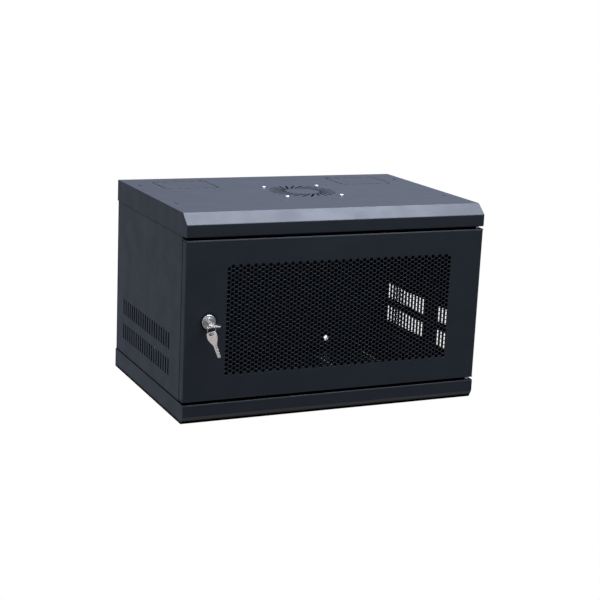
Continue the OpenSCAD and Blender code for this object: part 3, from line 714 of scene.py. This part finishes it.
def add_split_ring(centre, ring_r):
    """Two close turns of flattened spring wire, lapped past each other, in the XZ plane."""
    bm = bmesh.new()
    sides, steps, turns, start = 12, 200, 1.92, 1.0
    half_r, half_y, squareness = 0.46 * RING_WIRE, 0.22 * RING_WIRE, 0.6
    lap, crossing = RING_WIRE / 2 - half_y, 9
    rows = []
    for i in range(steps + 1):
        share = i / steps
        angle = 2 * math.pi * turns * share + start
        rise = lap * max(-1, min(1, (share - 0.5) * crossing))
        outward = Vector((math.cos(angle), 0, math.sin(angle)))
        row = []
        for j in range(sides):
            t = 2 * math.pi * j / sides
            across, along = (math.copysign(abs(f(t)) ** squareness, f(t)) for f in (math.cos, math.sin))
            row.append(centre + outward * (ring_r + half_r * across) + Vector((0, rise + half_y * along, 0)))
        rows.append(row)
    made = grid(bm, rows)
    bm.faces.new(made[0])
    bm.faces.new(made[-1])
    add_piece("split_ring", to_mesh("split_ring", bm, 60), "key_ring", "nickel", "key_ring")


# ---------------------------------------------------------------- fan and hinge


FAN_BLADES = 7
FAN_HUB_R = 20 * MM
FAN_TIP_R = 56 * MM
FAN_CUP_R = 18.8 * MM
FAN_CUP_ROOF = 1.6 * MM
FAN_CROWN_R = 2 * MM


def add_fan_rotor():
    """Hub with a rounded crown and seven cambered, swept blades."""
    low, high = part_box("fan_rotor")
    axis_x, axis_y = joint("fan_spin")["pos_m"][:2]
    height = high[2] - low[2]
    bm = bmesh.new()
    crown = [(FAN_HUB_R - FAN_CROWN_R + r, height - FAN_CROWN_R + h)
             for r, h in dome(FAN_CROWN_R, FAN_CROWN_R, 5)]
    cup = [(FAN_CUP_R, height - FAN_CUP_ROOF), (FAN_CUP_R, 0)]
    lathe(bm, [*cup, (FAN_HUB_R, 0), *crown, (0, height)], 64)
    parts = [(to_mesh("hub", bm, 40), Matrix())]
    blade = fan_blade(FAN_HUB_R - 0.3 * MM, FAN_TIP_R, height)
    for i in range(FAN_BLADES):
        parts.append((blade, Matrix.Rotation(2 * math.pi * i / FAN_BLADES, 4, "Z")))
    place = Matrix.Translation((axis_x, axis_y, low[2]))
    mesh = joined("fan_rotor_moulded", [(mesh, place @ turn) for mesh, turn in parts])
    add_piece("fan_rotor_moulded", mesh, "fan", "fan_plastic", "fan_rotor")


BLADE_HALF_T = 0.7 * MM
# Degrees that a blade spans at its root, and how much that changes by its tip
BLADE_SPREAD = (50, -8)
BLADE_SWEEP = math.radians(16)


def fan_blade(root_r, tip_r, height):
    """One cambered blade, thinner towards its tip, whose leading edge sweeps forward."""
    bm = bmesh.new()
    along, across = 12, 10
    faces = {}
    for side in (1, -1):
        rows = []
        for i in range(along + 1):
            share = i / along
            radius = root_r + (tip_r - root_r) * share
            spread = math.radians(BLADE_SPREAD[0] + BLADE_SPREAD[1] * share)
            sweep = BLADE_SWEEP * share ** 1.5
            row = []
            for j in range(across + 1):
                c = j / across
                angle = sweep + spread * (c - 0.5) * (0.85 + 0.15 * share)
                rise = height * (0.06 + 0.86 * (c - 0.16 * math.sin(math.pi * c)))
                t = BLADE_HALF_T * math.sqrt(max(0.0, 1 - (2 * c - 1) ** 4)) * (1 - 0.35 * share)
                row.append(Vector((radius * math.cos(angle), radius * math.sin(angle), rise + side * t)))
            rows.append(row)
        faces[side] = grid(bm, rows, closed=False)
    for i in (0, along):
        for j in range(across):
            bm.faces.new((faces[1][i][j], faces[1][i][j + 1], faces[-1][i][j + 1], faces[-1][i][j]))
    bmesh.ops.remove_doubles(bm, verts=bm.verts, dist=1e-6)
    return to_mesh("blade", bm, 60)


SPRING_WIRE_R = 0.45 * MM
SPRING_TURNS = 7.5
# The share of the coil that lies nearly closed at each end, and the share of the rise spread evenly
SPRING_CLOSED = 0.12
SPRING_EVEN_RISE = 0.05


def add_hinge_spring():
    """The upper hinge's compression spring, with closed ends."""
    low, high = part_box("hinge_spring")
    centre_x, centre_y = (low[0] + high[0]) / 2, (low[1] + high[1]) / 2
    wire_r = SPRING_WIRE_R
    coil_r = (high[0] - low[0]) / 2 - wire_r
    length = high[2] - low[2] - 2 * wire_r
    bm = bmesh.new()
    steps, sides = 240, 10
    rows = []
    for i in range(steps + 1):
        share = i / steps
        angle = 2 * math.pi * SPRING_TURNS * share
        middle = max(0.0, min(1.0, (share - SPRING_CLOSED) / (1 - 2 * SPRING_CLOSED)))
        rise = wire_r + length * (SPRING_EVEN_RISE * share + (1 - SPRING_EVEN_RISE) * middle)
        row = []
        for j in range(sides):
            t = 2 * math.pi * j / sides
            reach = coil_r + wire_r * math.cos(t)
            row.append(Vector((centre_x + reach * math.cos(angle), centre_y + reach * math.sin(angle),
                               low[2] + rise + wire_r * math.sin(t))))
        rows.append(row)
    made = grid(bm, rows)
    bm.faces.new(made[0])
    bm.faces.new(made[-1])
    mesh = to_mesh("hinge_spring_coil", bm, 60)
    spring = add_piece("hinge_spring_coil", mesh, "door", "zinc", "hinge_spring")
    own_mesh(spring)


# ---------------------------------------------------------------- door

VENT_PITCH = 7.65 * MM
VENT_FLATS = 6.4 * MM
VENT_COLUMNS = 63
VENT_ROWS = 24
VENT_MIDDLE_X = 5.0 * MM
LOCK_HOLE_R = 9.65 * MM
LOCK_HOLE_FLAT = 8.35 * MM
FOLD_R = 2.2 * MM
PIN_HOLE_R = 4.0 * MM


def vent_places(middle_z):
    """Centres of the vents: every second column starts half a pitch higher."""
    column_pitch = VENT_PITCH * math.cos(math.radians(30))
    first_x = VENT_MIDDLE_X - (VENT_COLUMNS - 1) * column_pitch / 2
    first_z = middle_z - (VENT_ROWS - 0.5) * VENT_PITCH / 2
    return [(first_x + c * column_pitch, first_z + (r + c % 2 / 2) * VENT_PITCH)
            for c in range(VENT_COLUMNS) for r in range(VENT_ROWS)]


def barrel_hole():
    """The lock's hole in the door: a circle with two flats, a little wider than the barrel."""
    middle = lock_frame().translation
    return [(middle.x + x, middle.z + max(-LOCK_HOLE_FLAT, min(LOCK_HOLE_FLAT, y)))
            for x, y in circle_points(LOCK_HOLE_R, 48)]


def fold_profile(depth, thickness):
    """A flange and the rounded fold that joins it to the sheet: (inwards, backwards) points."""
    turns = [math.pi / 2 * i / 6 for i in range(7)]
    outer = [(FOLD_R - FOLD_R * math.sin(t), FOLD_R - FOLD_R * math.cos(t)) for t in turns]
    inner_r = FOLD_R - thickness
    inner = [(FOLD_R - inner_r * math.cos(t), FOLD_R - inner_r * math.sin(t)) for t in turns]
    return [*outer, (0, depth), (thickness, depth), *inner]


def tray_side(profile, length, inwards, along, place):
    """One edge of the door: the profile extruded along the edge, with its middle at the place."""
    axes = (Vector(inwards), Vector((0, 1, 0)), Vector(along))
    turn = Matrix(axes).transposed().to_4x4()
    return plate(profile, [], length, 0), Matrix.Translation(place) @ turn


def pin_drill(height):
    """A drill for a hinge pin's hole through the flange at that height."""
    pivot = joint("door_hinge")["pos_m"]
    drill = plate(circle_points(PIN_HOLE_R, 32), [], 4 * FOLD_R, 0)
    drill.transform(Matrix.Translation((pivot[0], pivot[1], height)))
    return drill


def add_door_tray():
    """The door: a sheet punched with a honeycomb of hexagons, and flanges behind rounded folds."""
    low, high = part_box("door_panel")
    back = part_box("door_flanges")[1][1]
    thickness, middle = high[1] - low[1], (low + high) / 2
    left, right, bottom, top = low[0] + FOLD_R, high[0] - FOLD_R, low[2] + FOLD_R, high[2] - FOLD_R
    outline = [(left, bottom), (right, bottom), (right, top), (left, top)]
    vent_r = VENT_FLATS / math.sqrt(3)
    holes = [circle_points(vent_r, 6, place) for place in vent_places(middle.z)]
    sheet = plate(outline, [*holes, barrel_hole()], thickness, 0)
    parts = [(sheet, Matrix.Translation((0, middle.y, 0)) @ Matrix.Rotation(math.radians(90), 4, "X"))]
    profile = fold_profile(back - low[1], thickness)
    width, height = high[0] - low[0], high[2] - low[2] - 2 * FOLD_R
    for x, inwards in ((low[0], (1, 0, 0)), (high[0], (-1, 0, 0))):
        parts.append(tray_side(profile, height, inwards, (0, 0, 1), (x, low[1], middle.z)))
    for z, inwards in ((low[2], (0, 0, 1)), (high[2], (0, 0, -1))):
        parts.append(tray_side(profile, width, inwards, (1, 0, 0), (0, low[1], z)))
    tray = cut_out(joined("door_tray", parts), [pin_drill(low[2]), pin_drill(high[2])])
    bm = bmesh.new()
    bm.from_mesh(tray)
    tray = to_mesh("door_tray", bm, 35)
    add_piece("door_tray", tray, "door", "black_paint", "door_panel", "door_flanges")


def add_details():
    """The pieces that stand for CAD nodes with a finer shape."""
    add_door_tray()
    add_fan_screws()
    add_lock_barrel()
    add_keys()
    add_fan_rotor()
    add_hinge_spring()


add_camera()
add_studio()
finish_nodes()
add_details()
